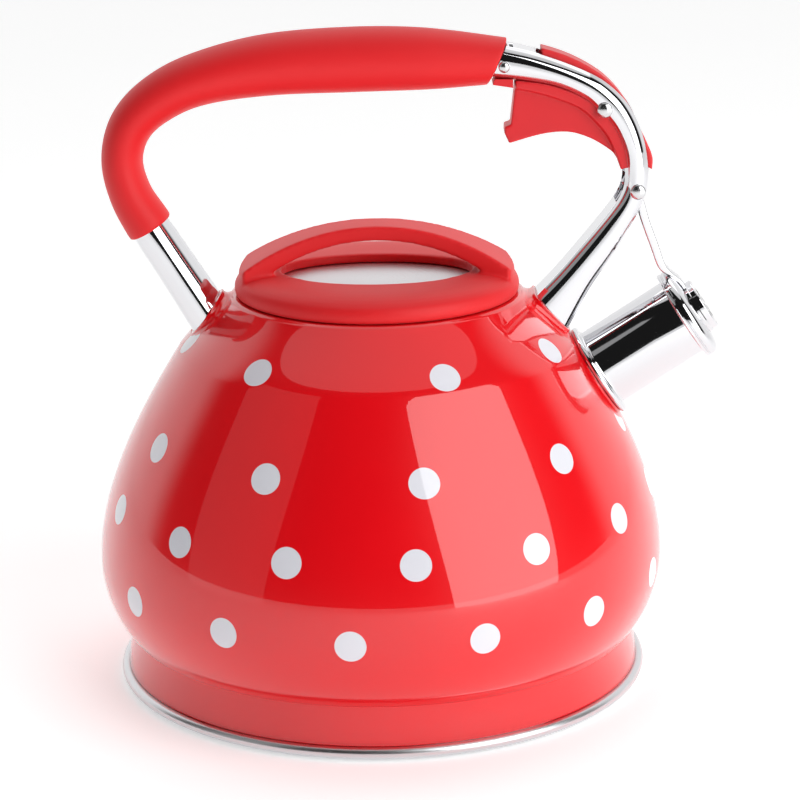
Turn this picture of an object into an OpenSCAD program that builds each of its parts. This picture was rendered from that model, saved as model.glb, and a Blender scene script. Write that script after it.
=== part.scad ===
// Stovetop whistling kettle. Millimetres, +Z up. The origin is the middle of the base,
// on the surface that the kettle stands on. The spout points along +X.

/* [Body] */
// Largest diameter of the enamelled body
belly_d = 220.8; // [210:0.2:230]
// Height of the largest diameter
belly_z = 48; // [42:1:54]
// Diameter of the waist above the base
waist_d = 199; // [190:1:202]
// Height of the waist
waist_z = 20; // [16:1:24]
// Diameter where the flank turns into the shoulder
shoulder_d = 155; // [150:1:160]
// Height where the flank turns into the shoulder
shoulder_z = 131; // [128:1:134]
// Outer diameter of the neck ring
neck_d = 112; // [110:0.5:116]
// Height of the neck ring
neck_z = 152.2; // [151:0.2:154]
// Diameter of the filling mouth
mouth_d = 92; // [84:1:96]
// Thickness of the body's enamelled steel
body_wall = 1; // [0.8:0.1:1.4]

/* [Base] */
// Diameter over the rolled steel rim
rim_d = 207.8; // [204:0.2:214]
// Radius of the rim's bead
bead_r = 2.3; // [1.8:0.1:2.6]
// Thickness of the steel pan and of the capsule's cover
pan_t = 0.8; // [0.6:0.1:1]
// Thickness of the aluminium core
core_t = 5; // [3:0.5:6]
// Diameter of the capsule
core_d = 170; // [150:2:180]

/* [Spout] */
// Outer diameter of the spout tube
spout_d = 31.4; // [28:0.2:33]
// Wall of the spout tube
spout_wall = 0.8; // [0.6:0.1:1.2]
// Angle of the spout above the horizontal
spout_angle = 33; // [31:1:35]
// Length of the spout tube outside its flange's seat
spout_len = 41.3; // [38:0.1:44]
// Width of the spout's flange around the tube
flange_w = 3.4; // [2.4:0.2:4]
// Thickness of the spout's flange
flange_t = 2.6; // [2:0.1:3]

/* [Cap] */
// How far the cap reaches out beyond the spout tube
cap_reach = 3; // [2.4:0.1:3.4]
// Thickness of the cap's steel
cap_wall = 0.8; // [0.6:0.1:1]
// How far the cap overlaps the spout
cap_lap = 1.8; // [1:0.1:2.4]
// Diameter of the whistle housing
whistle_d = 21; // [19:0.5:22]
// Height of the whistle housing
whistle_h = 2.4; // [2:0.1:3]
// Radius of the sound hole in the whistle discs
sound_hole_r = 1.5; // [1:0.1:2]

/* [Handle] */
// Half height and half width of the grip at its middle
grip_mid = [12.3, 13.4];
// Half height and half width of the grip at its front end
grip_front = [9, 11];
// Half height and half width of the rear arm at its foot
arm_foot = [8.5, 11.5];
// Half height of the tube inside the grip
tube_half_h = 4.9; // [4.4:0.1:5]
// Wall of the handle tube
tube_wall = 1.2; // [1:0.1:1.6]
// Width of the chromed front arm
arm_w = 20; // [19:0.5:21]
// Thickness of the front arm's walls
arm_wall = 1.6; // [1.4:0.1:1.8]

/* [Trigger] */
// Radius of the two pivot pins
pin_r = 2; // [1.6:0.1:2.2]
// Radius of the pins' domed heads
head_r = 3; // [2.6:0.1:3.4]
// Height of the pins' domed heads
head_h = 1.5; // [1:0.1:2]
// How far the trigger's blade and spine stay inside the arm's side faces
blade_inset = 4.5; // [4:0.5:5]
// Radial clearance of a moving hub on its pin
pin_gap = 0.05; // [0.02:0.01:0.08]
// Side clearance between the trigger or lever and the arm
side_gap = 0.5; // [0.3:0.1:0.8]

/* [Lid] */
// Outer diameter of the lid cover
lid_d = 110.6; // [108:0.2:111]
// Height of the top of the lid's bridge handle above the neck ring
bridge_h = 26.9; // [24:0.1:29]
// Thickness of the bridge handle at its middle
bridge_t = 5.6; // [4.6:0.2:7]
// Half length and half width of the oval opening under the bridge
lid_opening = [37, 24.5];
// Thickness of the lid's steel plate
plate_t = 0.8; // [0.6:0.1:1.2]
// Radial gap between the lid's skirt and the mouth
skirt_gap = 0.8; // [0.6:0.1:1.2]

/* [Hidden] */
$fn = 96;
eps = 0.01;
far = 400;

// Reference heights of the base
pan_z = pan_t + core_t;
bead_z = bead_r + 0.5;
bead_mid_r = rim_d/2 - bead_r;
skirt_z = bead_z + bead_r;
skirt_r = bead_mid_r - 0.6;

// Spout: seat of the flange on the body
spout_seat = [85, 118.5];
spout_r = spout_d/2;
flange_d = spout_d + 2*flange_w;
cap_d = spout_d + 2*cap_reach;
// Height of the cap's flat face above the flange seat, along the spout
cap_rim = spout_len - cap_lap;
dome_h = 6.2;
cap_face = cap_rim + dome_h;
pad_t = 1.4;
blade_w = arm_w - 2*blade_inset;
lever_w = blade_w - 2;

// Handle: centre line of the tube and the grip, from the rear foot to the front end, as [x, z]
rear_foot = [-66.05, 144.85];
handle_line = [rear_foot, [-76, 161.2], [-86.6, 178.6], [-93.6, 191.5], [-96.3, 205],
    [-92.4, 218], [-82, 228], [-66, 235.4], [-40, 240.4], [-8, 242], [20, 241.9], [46.5, 240.6]];
grip_start = 2;
// The tube fits inside the front arm with a small gap at each side
tube_half = [tube_half_h, arm_w/2 - arm_wall - 0.5];
foot_slant = 0.4;
end_slant = 0.38;
tube_stick_out = 4.6;
tube_gap = 0.3;
// Half height and half width of the grip at each point of the centre line
grip_sizes = [[9, 11.4], [9, 11.4], [9, 11.4], [8.2, 11.4], [7.9, 11.6], [8.4, 12], [9.2, 12.6],
    [10, 13], [11.6, grip_mid.y], grip_mid, [11.6, 13], grip_front];
// Half height and half width of the tube at each point of the centre line
tube_sizes = [arm_foot, [7.9, 11], [7.4, 10.4], tube_half, tube_half, tube_half, tube_half,
    tube_half, tube_half, tube_half, tube_half, tube_half];

// Front arm: outer and inner edges as [x, z], from the grip down to the body
arm_outer = [[50, 247.3], [60, 244.9], [73, 240.4], [84.6, 234.9], [92.6, 228.4], [97.6, 221.6],
    [101.2, 213.5], [103.4, 204], [103.6, 195], [101.2, 185.4], [92, 168.6], [82, 153.6],
    [73.6, 137.9]];
arm_inner = [[44.2, 235.2], [56, 233.9], [68.3, 231.5], [78.4, 226.9], [83.6, 222.4],
    [87.4, 219], [91, 213.8], [94, 206.4], [94.9, 198], [93.6, 190.6], [87.6, 181.4],
    [71, 161.3], [61.3, 150.8]];
slot_start = [61.6, 244];
slot_end = [103.4, 198];
box_start_z = 187;

// Pivots, as [x, z]
trigger_pivot = [86.8, 223.1];
cap_pivot = [99.6, 191.5];
rivet_at = [49, 239.9];
rivet_head_r = 2.2;

// Feet of the handle: lean from the vertical, slant of the seam, half sizes of collar and tongue
rear_lean = -31.25;
rear_seam = -21.9;
rear_tongue = [5.4, 8.4];
front_ends = [arm_inner[len(arm_inner) - 1], arm_outer[len(arm_outer) - 1]];
front_foot = (front_ends[0] + front_ends[1])/2;
front_lean = 37.5;
front_seam = atan2(front_ends[0].y - front_ends[1].y, front_ends[1].x - front_ends[0].x)
    - front_lean;
front_half = [8.75, arm_w/2];
front_tongue = [4.4, arm_w/2 - arm_wall - 0.6];
collar_rim = 1.4;
tongue_h = 12;
screw_r = 2;
screw_gap = 0.1;
screw_head_r = 4.4;

// Lid
plate_z = neck_z + 0.3;
plate_top = neck_z + 5.1;
bridge_z = neck_z + bridge_h;
skirt_r_out = mouth_d/2 - skirt_gap;
plate_flange_r = mouth_d/2 + 5;
cover_z = plate_z;
lid_screw_x = 41;

// ---------- shapes shared by the parts ----------

// Points of a cubic curve with four control points
function curve(a, b, c, d, n) = [for (i = [0:n - 1]) let (t = i/n, s = 1 - t)
    s*s*s*a + 3*s*s*t*b + 3*s*t*t*c + t*t*t*d];

// Smooth line through a list of points, n steps a span
function spline(p, n) = concat([for (i = [0:len(p) - 2], k = [0:n - 1])
    let (t = k/n, a = p[max(i - 1, 0)], b = p[i], c = p[i + 1], d = p[min(i + 2, len(p) - 1)])
    0.5*(2*b + (c - a)*t + (2*a - 5*b + 4*c - d)*t*t + (3*b - a - 3*c + d)*t*t*t)],
    [p[len(p) - 1]]);

function reverse(p) = [for (i = [len(p) - 1:-1:0]) p[i]];

// Unit direction of a line of points at point i, and its left normal
function along(p, i) = let (d = p[min(i + 1, len(p) - 1)] - p[max(i - 1, 0)]) d/norm(d);
function aside(p, i) = let (d = along(p, i)) [-d.y, d.x];
function shifted(p, off) = [for (i = [0:len(p) - 1]) p[i] + off*aside(p, i)];

// Oval outline; power 2 is an ellipse, a higher power is squarer
function oval(a, b, power = 2, n = 40) = [for (i = [0:n - 1])
    let (c = cos(360*i/n), s = sin(360*i/n))
    [a*sign(c)*pow(abs(c), 2/power), b*sign(s)*pow(abs(s), 2/power)]];

// Outer surface of the body, from the foot of the skirt up to the neck, as [radius, z]
body_line = let (foot = [skirt_r, skirt_z], waist = [waist_d/2, waist_z],
    belly = [belly_d/2, belly_z], shoulder = [shoulder_d/2, shoulder_z], neck = [neck_d/2, neck_z])
    concat(
        curve(foot, foot + [-0.4, 5], waist - [0, 6], waist, 5),
        curve(waist, waist + [5, 4.8], belly - [0, 12], belly, 12),
        curve(belly, belly + [0, 28], shoulder + [15.5, -24], shoulder, 20),
        curve(shoulder, shoulder + [-2.6, 4], neck + [6, -6.2], neck, 12),
        [neck]);

// Everything inside the outer surface of the body
module body_solid() {
    rotate_extrude() polygon(concat([[0, skirt_z]], body_line, [[0, neck_z]]));
}

// Places a child in the frame of the spout, whose Z runs out along the spout
module on_spout() {
    translate([spout_seat.x, 0, spout_seat.y]) rotate([0, 90 - spout_angle, 0]) children();
}

// Places a child in the frame of a foot, whose Z runs up along the arm
module on_foot(at, lean) {
    translate([at.x, 0, at.y]) rotate([0, lean, 0]) children();
}

// A plate whose outline lies in the plane of the handle, centred on it
module plate(points, w) {
    rotate([90, 0, 0]) linear_extrude(w, center = true) polygon(points);
}

// A round bar across the handle at [x, z]
module cross_bar(at, r, w) {
    translate([at.x, 0, at.y]) rotate([90, 0, 0]) cylinder(r = r, h = w, center = true);
}

// One ring of a swept tube: half sizes s, around point i of the line, leant by slant
function ring(line, i, s, n, slant) = let (t = along(line, i), u = aside(line, i))
    [for (k = [0:n - 1]) let (a = s.x*cos(360*k/n), c = line[i] + u*a + t*a*slant)
        [c.x, s.y*sin(360*k/n), c.y]];

// Hollow tube swept along a line of [x, z] points; outer and inner hold half sizes at each point
module swept_tube(line, outer, inner, n, slant_a, slant_b) {
    m = len(line);
    points = [for (half = [outer, inner], i = [0:m - 1])
        each ring(line, i, half[i], n, i == 0 ? slant_a : i == m - 1 ? slant_b : 0)];
    walls = [for (i = [0:m - 2], k = [0:n - 1]) let (j = (k + 1)%n)
        each [[i*n + k, (i + 1)*n + k, (i + 1)*n + j, i*n + j],
            [(m + i)*n + k, (m + i)*n + j, (m + i + 1)*n + j, (m + i + 1)*n + k]]];
    ends = [for (k = [0:n - 1]) let (j = (k + 1)%n)
        each [[k, j, m*n + j, m*n + k],
            [(m - 1)*n + k, (2*m - 1)*n + k, (2*m - 1)*n + j, (m - 1)*n + j]]];
    polyhedron(points, concat(walls, ends), convexity = 6);
}

// Rivet across the front arm, with a domed head on each side
module rivet(at, r, head) {
    translate([at.x, 0, at.y]) rotate([90, 0, 0]) {
        cylinder(r = r, h = arm_w, center = true);
        for (side = [0, 1]) mirror([0, 0, side]) translate([0, 0, arm_w/2]) rotate_extrude()
            polygon(concat([[0, 0]], [for (a = [0:15:90]) [head*cos(a), head_h*sin(a)]]));
    }
}

// ---------- body and base ----------

module body_shell() {
    inside = shifted(body_line, body_wall);
    color("red") difference() {
        union() {
            body_solid();
            on_spout() translate([0, 0, -9]) cylinder(r1 = spout_r + 7.5, r2 = spout_r + 1.8, h = 9);
        }
        rotate_extrude() polygon(concat([[0, skirt_z - 1], [skirt_r - body_wall, skirt_z - 1]],
            inside, [[0, inside[len(inside) - 1].y]]));
        cylinder(r = mouth_d/2, h = far);
        on_spout() {
            translate([0, 0, -20]) cylinder(r = spout_r, h = 40);
            cylinder(r = flange_d/2 + 0.3, h = 20);
        }
        for (foot = [[rear_foot, rear_lean], [front_foot, front_lean]])
            on_foot(foot[0], foot[1]) translate([0, 0, -20]) cylinder(r = screw_r + screw_gap, h = 40);
    }
    color("red") translate([0, 0, neck_z - 8]) difference() {
        cylinder(r = mouth_d/2 + body_wall, h = 8);
        translate([0, 0, -1]) cylinder(r = mouth_d/2, h = 10);
    }
}

module base_pan() {
    wall_r = skirt_r - body_wall - 0.3;
    color("silver") rotate_extrude() {
        translate([bead_mid_r, bead_z]) circle(r = bead_r);
        translate([0, pan_z]) square([wall_r, pan_t]);
        translate([wall_r - pan_t, bead_z]) square([pan_t, pan_z + pan_t - bead_z]);
    }
}

module base_core() {
    color("lightgray") translate([0, 0, pan_t]) cylinder(d = core_d - 2*pan_t, h = core_t);
}

module base_cover() {
    color("silver") difference() {
        cylinder(d = core_d, h = pan_z);
        translate([0, 0, pan_t]) cylinder(d = core_d - 2*pan_t, h = pan_z);
    }
}

// ---------- spout ----------

module spout_tube() {
    color("silver") on_spout() translate([0, 0, -5]) difference() {
        cylinder(r = spout_r, h = spout_len + 5);
        translate([0, 0, -1]) cylinder(r = spout_r - spout_wall, h = spout_len + 10);
    }
}

module spout_flange() {
    edge = flange_t/2;
    color("silver") on_spout() rotate_extrude() difference() {
        union() {
            translate([spout_r, 0]) square([flange_d/2 - spout_r - edge, flange_t]);
            translate([flange_d/2 - edge, edge]) circle(r = edge);
        }
        translate([0, -1]) square([spout_r, flange_t + 2]);
    }
}

// ---------- feet of the handle ----------

// Enamelled collar that follows the body, with a tongue that stands up inside the arm
module bracket(at, lean, seam, half, tongue, power) {
    rim = [half.x + collar_rim, half.y + collar_rim];
    color("red") difference() {
        on_foot(at, lean) {
            difference() {
                translate([0, 0, -20]) linear_extrude(40) polygon(oval(rim.x, rim.y, power));
                rotate([0, seam, 0]) translate([-50, -50, 0]) cube(100);
            }
            translate([0, 0, -16]) linear_extrude(16 + tongue_h)
                polygon(oval(tongue.x, tongue.y, power));
        }
        body_solid();
        on_foot(at, lean) translate([0, 0, -20]) cylinder(r = screw_r + screw_gap, h = 20 + tongue_h - 2);
    }
}

module rear_bracket() {
    bracket(rear_foot, rear_lean, rear_seam, arm_foot, rear_tongue, 2);
}

module front_bracket() {
    bracket(front_foot, front_lean, front_seam, front_half, front_tongue, 6);
}

// Screw from inside the body up into each tongue
module bracket_screws() {
    color("silver") for (foot = [[rear_foot, rear_lean], [front_foot, front_lean]])
        on_foot(foot[0], foot[1]) {
            translate([0, 0, -11]) cylinder(r = screw_r, h = 19);
            translate([0, 0, -13]) cylinder(r = screw_head_r - 0.6, h = 2.2);
        }
}

// Silicone washer between each screw's head and the inside of the body
module screw_seals() {
    inside = shifted(body_line, body_wall);
    color("white") intersection() {
        for (foot = [[rear_foot, rear_lean], [front_foot, front_lean]])
            on_foot(foot[0], foot[1]) translate([0, 0, -10.8]) difference() {
                cylinder(r = screw_head_r, h = 14);
                translate([0, 0, -1]) cylinder(r = screw_r + screw_gap, h = 20);
            }
        rotate_extrude() polygon(concat([[0, skirt_z]], inside,
            [[0, inside[len(inside) - 1].y]]));
    }
}

// ---------- handle ----------

function upto(list, from) = [for (i = [from:len(list) - 1]) list[i]];
function less(sizes, wall) = [for (s = sizes) [s.x - wall, s.y - wall]];

// The grip's last point is at its front end; the tube runs on past it into the arm
tube_line = let (end = handle_line[len(handle_line) - 1], t = along(handle_line, len(handle_line) - 1))
    spline(concat(upto(handle_line, 0), [end + tube_stick_out*t]), 3);
tube_outer = spline(concat(tube_sizes, [tube_half]), 3);

module handle_tube() {
    color("silver") difference() {
        swept_tube(tube_line, tube_outer, less(tube_outer, tube_wall), 24, -foot_slant, 0);
        cross_bar(rivet_at, pin_r, 30);
    }
}

module handle_grip() {
    line = spline(upto(handle_line, grip_start), 3);
    outer = spline(upto(grip_sizes, grip_start), 3);
    bore = spline(upto(less(tube_sizes, -tube_gap), grip_start), 3);
    color("red") swept_tube(line, outer, bore, 24, 0, end_slant);
}

// Nylon plug that fills the arm under the end of the tube
module arm_plug() {
    half_w = arm_w/2 - arm_wall - 0.1;
    color("red") plate([[44.8, 232.9], [52.4, 231.7], [52.4, 234.9], [45.6, 235]], 2*half_w);
}

// Region between the arm's outer edge and the same edge moved inwards
function edge_strip(edge, t) = concat(edge, reverse(shifted(edge, -t)));

// Chromed front arm: two side walls, an outer web with a slot, and an inner web on the lower half
module front_arm() {
    outer = spline(arm_outer, 4);
    inner = spline(arm_inner, 4);
    outline = concat(outer, reverse(inner));
    color("silver") difference() {
        union() {
            for (side = [-1, 1]) translate([0, side*(arm_w - arm_wall)/2, 0]) plate(outline, arm_wall);
            intersection() {
                plate(outline, arm_w);
                plate(edge_strip(outer, arm_wall), arm_w);
            }
            intersection() {
                plate(outline, arm_w);
                plate(concat(inner, reverse(shifted(inner, arm_wall))), arm_w);
                translate([0, -50, 0]) cube([200, 100, box_start_z]);
            }
        }
        slot();
        for (at = [trigger_pivot, cap_pivot, rivet_at]) cross_bar(at, pin_r, 30);
    }
}

// Opening in the arm's outer web for the trigger's spine, and below it for the cap's lever
module slot() {
    slot_w = blade_w + 2*side_gap;
    plate([slot_start, slot_start + [2.5, 8], [115, 240], [115, slot_end.y], slot_end - [6, 0],
        [80, 230], [slot_start.x, slot_start.y - 4]], slot_w);
    plate([[99.4, slot_end.y + 2], [115, slot_end.y + 2], [115, 171], [96.6, 171], [98, 180]],
        arm_w - 2*arm_wall);
}

module grip_rivet() {
    color("silver") rivet(rivet_at, pin_r, rivet_head_r);
}

module trigger_pin() {
    color("silver") rivet(trigger_pivot, pin_r, head_r);
}

module cap_pin() {
    color("silver") rivet(cap_pivot, pin_r, head_r);
}

// ---------- trigger ----------

// Spine, blade and side flanges of the trigger; its tail pushes the cap's lever
module trigger() {
    spine = spline([[63.2, 246.2], [70, 244.1], [77.4, 240.9], [85.3, 236.1], [90.9, 231],
        [95.2, 225.2], [99.6, 216.8], [103.2, 209.6], [105.4, 203.9], [105.2, 199.2]], 3);
    under = spline([[101.6, 201.2], [98.8, 206], [95.6, 205.4], [93.6, 200.6]], 3);
    belly = spline([[90.4, 206], [86, 209.2], [81, 211.9], [74.8, 213.9], [68.6, 214.1],
        [61.5, 213], [51, 210]], 3);
    hook = [[49.2, 214], [49.3, 216.4], [51.6, 217.1], [52.6, 226.2], [53.4, 233.6]];
    roof = spline([[60.6, 234.4], [66, 236.6], [63.2, 241.4]], 3);
    band = concat(spline([[53.4, 234.3], [64, 232.9], [74, 229.8], [82, 225.6]], 3),
        [[86, 227.6], [90.6, 226], [91.6, 221], [94.6, 214.6], [97, 207.4], [96.4, 200.6]],
        spline([[93.2, 199.8], [90.8, 207], [87.8, 213], [83.9, 217.8], [76.9, 223.9],
            [63.7, 228.9], [53.4, 231.2]], 3));
    color("red") difference() {
        union() {
            plate(concat(spine, under, belly, hook, roof), blade_w);
            plate(band, arm_w - 2*arm_wall - 2*side_gap);
        }
        cross_bar(trigger_pivot, pin_r + pin_gap, 30);
    }
}

// ---------- spout cap ----------

// Point at u along the spout and v above its axis, as [x, z]
function at_spout(u, v) = spout_seat + u*[cos(spout_angle), sin(spout_angle)]
    + v*[-sin(spout_angle), cos(spout_angle)];

// Outline of a strip along a line, with its half thickness at each point
function strip(line, half) = let (n = len(line))
    concat([for (i = [0:n - 1]) line[i] + half[i]*aside(line, i)],
        [for (i = [n - 1:-1:0]) line[i] - half[i]*aside(line, i)]);

// Lever from the cap's pin down to the cap, with a short arm above the pin for the trigger's tail
module cap_lever() {
    line = spline([cap_pivot, [101, 186], [103.2, 178.4], [106.7, 168.8], [109.4, 161.4],
        at_spout(cap_rim + 5, 18.4), at_spout(cap_face + 0.7, 13), at_spout(cap_face + 0.7, 9)], 4);
    half = spline([1.6, 1.6, 1.6, 1.6, 1.5, 1, 0.7, 0.7], 4);
    color("silver") difference() {
        union() {
            cross_bar(cap_pivot, pin_r + 1.9, lever_w);
            plate(strip(line, half), lever_w);
            plate([cap_pivot + [-2.2, 1], cap_pivot + [-0.8, 7.2], cap_pivot + [0.2, 8],
                cap_pivot + [1.2, 7.2], cap_pivot + [2.2, 0]], lever_w);
            on_spout() translate([0, 0, cap_face]) cylinder(r = whistle_d/2 + 0.6, h = pad_t);
        }
        cross_bar(cap_pivot, pin_r + pin_gap, 30);
        on_spout() {
            translate([0, 0, cap_face - 5]) cylinder(r = whistle_d/2 - 3.4, h = 15);
            translate([0, 0, cap_face + pad_t]) cylinder(r = whistle_d/2 + 0.1, h = 10);
        }
        on_spout() cap_form(0);
    }
}

// Solid form of the cap, made smaller by t for its hollow
module cap_form(t) {
    r = cap_d/2;
    translate([0, 0, cap_rim]) rotate_extrude() polygon(concat(
        [[0, t > 0 ? -1 : 0], [r - t, t > 0 ? -1 : 0]],
        curve([r - t, 2.6 - t/2], [r - t, 5 - t], [r - 4 - t, dome_h - t],
            [r - 7.4 - t, dome_h - t], 6),
        [[r - 7.4 - t, dome_h - t], [0, dome_h - t]]));
}

module cap_shell() {
    color("silver") on_spout() difference() {
        cap_form(0);
        cap_form(cap_wall);
        translate([0, 0, cap_rim]) cylinder(r = whistle_d/2 - 3.4, h = 20);
    }
}

// Vented ring on the cap's face, seated on the lever's pad
module whistle_housing() {
    foot = cap_face + pad_t;
    color("silver") on_spout() translate([0, 0, foot]) difference() {
        union() {
            cylinder(d = whistle_d, h = whistle_h - 0.6);
            cylinder(d1 = whistle_d, d2 = whistle_d - 1.2, h = whistle_h);
        }
        translate([0, 0, -1]) cylinder(d = whistle_d - 2, h = whistle_h);
        for (a = [0:45:315]) rotate(a) translate([whistle_d/4, 0, 0]) cylinder(r = 1.5, h = 9);
    }
}

module whistle_disc(z) {
    color("silver") on_spout() translate([0, 0, z]) difference() {
        cylinder(r = whistle_d/2 - 1.2, h = 0.6);
        translate([0, 0, -1]) cylinder(r = sound_hole_r, h = 3);
    }
}

module whistle_disc_outer() {
    whistle_disc(cap_face - cap_wall - 0.6);
}

// The inner disc is held in a short cup under the outer one
module whistle_disc_inner() {
    z = cap_face - cap_wall - 2.6;
    whistle_disc(z);
    color("silver") on_spout() translate([0, 0, z]) difference() {
        cylinder(r = whistle_d/2 - 0.6, h = 2);
        translate([0, 0, -1]) cylinder(r = whistle_d/2 - 1.2, h = 5);
    }
}

// Silicone ring that closes on the end of the spout
module cap_seal() {
    color("white") on_spout() translate([0, 0, spout_len + 0.3]) difference() {
        cylinder(r = spout_r + 0.9, h = 1.8);
        translate([0, 0, -1]) cylinder(r = whistle_d/2 + 0.2, h = 4);
    }
}

// Torsion spring beside the lever's hub
module cap_spring() {
    coil_r = pin_r + 1;
    wire_r = 0.4;
    turns = 3;
    steps = 14;
    sides = 6;
    y0 = lever_w/2 + 0.2;
    leg = 4;
    coil = [for (i = [0:turns*steps]) let (a = 360*i/steps + 80)
        [cap_pivot.x + coil_r*cos(a), y0 + wire_r + 2.05*wire_r*i/steps, cap_pivot.y + coil_r*sin(a), a]];
    first = coil[0];
    last = coil[len(coil) - 1];
    route = concat(
        [[first.x + leg*sin(first[3]), first.y, first.z - leg*cos(first[3]), first[3]]], coil,
        [[last.x - leg*sin(last[3]), last.y, last.z + leg*cos(last[3]), last[3]]]);
    m = len(route);
    points = [for (c = route, k = [0:sides - 1]) let (b = 360*k/sides)
        [c.x + wire_r*cos(b)*cos(c[3]), c.y + wire_r*sin(b), c.z + wire_r*cos(b)*sin(c[3])]];
    walls = [for (i = [0:m - 2], k = [0:sides - 1]) let (j = (k + 1)%sides)
        [i*sides + k, i*sides + j, (i + 1)*sides + j, (i + 1)*sides + k]];
    color("silver") polyhedron(points, concat(walls,
        [[for (k = [sides - 1:-1:0]) k], [for (k = [0:sides - 1]) (m - 1)*sides + k]]));
}

// ---------- lid ----------

// Steel pressing: raised middle, flange on the neck ring, and a skirt in the mouth
module lid_plate() {
    color("silver") difference() {
        rotate_extrude() {
            polygon([[0, plate_top - plate_t], [lid_screw_x + 2.5, plate_top - plate_t],
                [lid_screw_x + 4.4, plate_z], [plate_flange_r, plate_z], [plate_flange_r, plate_z + plate_t],
                [lid_screw_x + 5, plate_z + plate_t], [lid_screw_x + 3.1, plate_top],
                [0, plate_top]]);
            translate([skirt_r_out - plate_t, plate_z - 10]) square([plate_t, 10 + plate_t]);
        }
        for (side = [-1, 1]) translate([side*lid_screw_x, 0, 140]) cylinder(r = 1.6, h = 30);
    }
}

// Height of the bridge's arc over the axis: a circle that passes zc at the middle and falls
// by drop at half_span
module bridge_arc(zc, half_span, drop, w) {
    r = (half_span*half_span + drop*drop)/(2*drop);
    translate([0, 0, zc - r]) rotate([90, 0, 0]) cylinder(r = r, h = w, center = true, $fn = 240);
}

// Soft-touch cover: a low dome with an oval opening, and a bridge handle across it
module lid_cover() {
    r = lid_d/2;
    rim = concat([[plate_flange_r + 0.2, cover_z + plate_t + 0.1], [plate_flange_r + 0.2, cover_z]],
        curve([r - 1, cover_z], [r - 0.2, cover_z + 1.6], [r + 0.1, cover_z + 4], [r - 1.6, cover_z + 5.9], 6),
        curve([r - 1.6, cover_z + 5.9], [r - 7, cover_z + 9.6], [r - 14, cover_z + 8.7], [r - 32, cover_z + 8.2], 8),
        [[0, cover_z + 8.1], [0, plate_top + 0.1], [lid_screw_x + 3.2, plate_top + 0.1],
            [lid_screw_x + 5.3, cover_z + plate_t + 0.1]]);
    color("red") difference() {
        union() {
            difference() {
                rotate_extrude() polygon(rim);
                translate([0, 0, 100]) linear_extrude(100)
                    polygon(oval(lid_opening.x, lid_opening.y));
            }
            intersection() {
                bridge_arc(bridge_z, 51, 15.7, 60);
                translate([0, 0, plate_top + 0.1]) linear_extrude(40) bridge_plan();
                cylinder(r = r - 2.2, h = far);
                difference() {
                    translate([0, 0, 190]) cube([120, 60, 80], center = true);
                    bridge_arc(bridge_z - bridge_t, lid_opening.x, 9.4, 62);
                }
            }
        }
        for (side = [-1, 1]) translate([side*lid_screw_x, 0, 150]) cylinder(r = 1.5, h = 15);
    }
}

// Plan of the bridge: narrow in the middle and wide where it meets the dome
module bridge_plan() {
    edge = [for (x = [-54:6:54]) [x, 8.4 + 8.4*pow(x/54, 2)]];
    polygon(concat(edge, reverse([for (p = edge) [p.x, -p.y]])));
}

// Screws from under the steel plate into the cover
module lid_screws() {
    color("silver") for (side = [-1, 1]) translate([side*lid_screw_x, 0, plate_top - plate_t]) {
        cylinder(r = 1.5, h = 8);
        translate([0, 0, -2]) cylinder(r = 2.2, h = 2);
    }
}

// Silicone ring around the skirt, inside the mouth
module lid_gasket() {
    color("white") translate([0, 0, plate_z - 7]) difference() {
        cylinder(r = skirt_r_out + skirt_gap - 0.3, h = 3);
        translate([0, 0, -1]) cylinder(r = skirt_r_out, h = 5);
    }
}

body_shell();
base_pan();
base_core();
base_cover();
spout_tube();
spout_flange();
rear_bracket();
front_bracket();
bracket_screws();
screw_seals();
handle_tube();
handle_grip();
arm_plug();
front_arm();
grip_rivet();
trigger_pin();
cap_pin();
trigger();
cap_lever();
cap_shell();
whistle_housing();
whistle_disc_outer();
whistle_disc_inner();
cap_seal();
cap_spring();
lid_plate();
lid_cover();
lid_screws();
lid_gasket();
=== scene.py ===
import math

import bmesh
import bpy
import numpy as np
from bpy.props import FloatProperty, FloatVectorProperty, IntProperty, PointerProperty
from mathutils import Matrix, Vector


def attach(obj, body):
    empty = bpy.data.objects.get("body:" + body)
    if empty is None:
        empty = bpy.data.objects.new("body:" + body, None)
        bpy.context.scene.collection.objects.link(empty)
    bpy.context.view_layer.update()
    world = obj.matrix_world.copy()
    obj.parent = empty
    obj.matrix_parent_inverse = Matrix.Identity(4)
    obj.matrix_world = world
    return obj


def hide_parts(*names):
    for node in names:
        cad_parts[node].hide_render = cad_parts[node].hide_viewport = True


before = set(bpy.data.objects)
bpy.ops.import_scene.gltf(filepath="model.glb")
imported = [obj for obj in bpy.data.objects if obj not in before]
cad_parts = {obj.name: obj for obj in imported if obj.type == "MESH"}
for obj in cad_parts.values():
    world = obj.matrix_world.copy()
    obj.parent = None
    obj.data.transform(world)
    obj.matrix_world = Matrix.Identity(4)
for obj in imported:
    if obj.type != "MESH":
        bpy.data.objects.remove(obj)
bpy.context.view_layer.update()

bl_info = {
    "name": "Whistling kettle",
    "version": (1, 0, 0),
    "blender": (4, 5, 0),
    "location": "3D View > Sidebar > Kettle",
    "description": "Builds the finished look of a stovetop whistling kettle on its packed frame",
    "category": "Object",
}

MM = 0.001
FLOOR_HALF, FLOOR_DROP = 12.0, 0.0002
CAMERA_LENS, CAMERA_X, CAMERA_ROLL = 126.2, 0.00828, -0.794
DOT_EDGE = 0.0002

# ---------- the kettle's lines, in millimetres: [radius or x, z] ----------

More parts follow.
